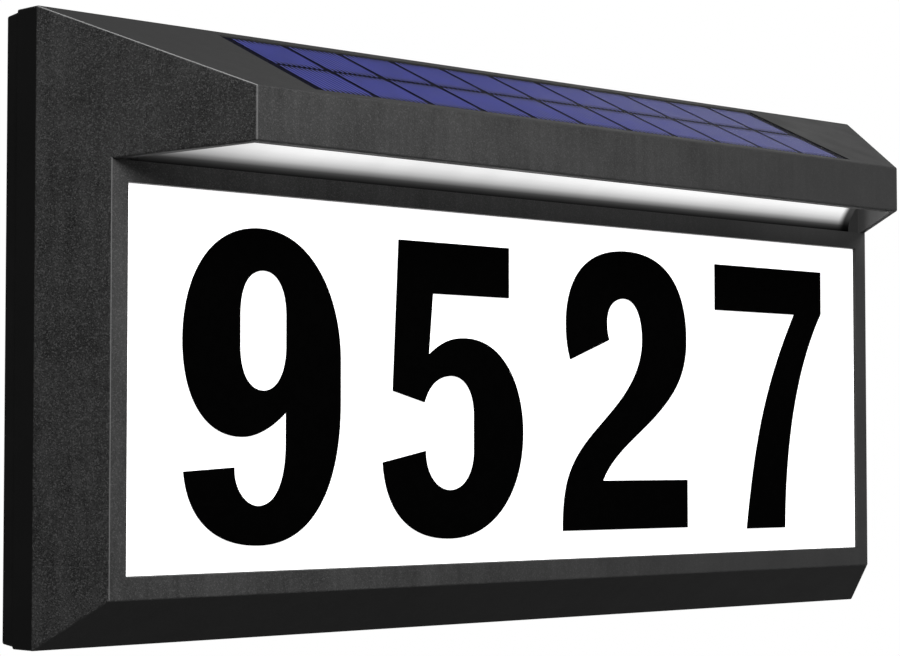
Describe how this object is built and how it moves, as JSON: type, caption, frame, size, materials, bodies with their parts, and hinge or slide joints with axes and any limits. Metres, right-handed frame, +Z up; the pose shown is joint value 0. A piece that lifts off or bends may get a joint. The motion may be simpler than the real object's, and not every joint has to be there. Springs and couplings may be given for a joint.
{
  "type": "illuminated house number sign",
  "caption": "Wall-mounted house number sign: a bevelled dark housing with a white plate of black digits, and a sloping hood that carries a solar panel and a lamp.",
  "frame": {"origin": "middle of the flat back, on the wall", "axes": "+Y into the wall, so the digits face -Y; +X to the right as seen from the front, along the sign's length; +Z up"},
  "size_m": [0.36, 0.0641, 0.1748],
  "materials": {
    "shell": "fine grained moulded plastic, dark grey",
    "number_plate": "white, satin",
    "digit_film": "black, satin",
    "tape": "foam tape, pale grey",
    "solar_cells": "silicon, dark blue",
    "solar_backing": "black laminate",
    "clear_cover": "clear cast resin",
    "diffuser": "milky, lit from behind",
    "lamp_board": "white solder mask",
    "leds": "lit",
    "steel": "zinc plated",
    "seal": "matt black",
    "battery_wrap": "green shrink sleeve",
    "contact": "nickel plated spring strip",
    "control_board": "green solder mask",
    "chip": "black",
    "coil": "ferrite, dark grey",
    "capacitor": "sleeved can",
    "white_plastic": "off-white",
    "switch": "black",
    "plunger": "pale grey",
    "button": "mid grey, satin",
    "red_wire": "red and satin",
    "grey_wire": "dark grey, satin"
  },
  "bodies": {
    "sign": {"front_housing": "shell", "back_cover": "shell", "battery_hatch": "shell", "housing_seal": "seal", "housing_screws": "steel", "number_panel": "number_plate", "panel_tape": "tape", "digit_nine": "digit_film", "digit_five": "digit_film", "digit_two": "digit_film", "digit_seven": "digit_film", "solar_tape": "tape", "solar_backing": "solar_backing", "solar_cells": "solar_cells", "solar_cover": "clear_cover", "light_diffuser": "diffuser", "led_board": "lamp_board", "leds": "leds", "led_board_screws": "steel", "battery": "battery_wrap", "battery_contacts": "contact", "hatch_seal": "seal", "hatch_screws": "steel", "control_board": "control_board", "control_board_screws": "steel", "controller_chip": "chip", "charging_coil": "coil", "storage_capacitor": "capacitor", "lead_sockets": "white_plastic", "lead_plugs": "white_plastic", "power_switch": "switch", "solar_lead": "grey_wire", "led_lead": "grey_wire", "battery_lead": "red_wire", "lead_bushes": "seal"},
    "button": {"power_button": "button", "button_seal": "seal", "switch_plunger": "plunger"}
  },
  "joints": [
    {"name": "button_press", "type": "slide", "parent": "sign", "child": "button", "axis": [0, -1, 0], "range_m": [0, 0.0012], "stiffness_N_per_m": 400, "springref_m": -0.001}
  ]
}
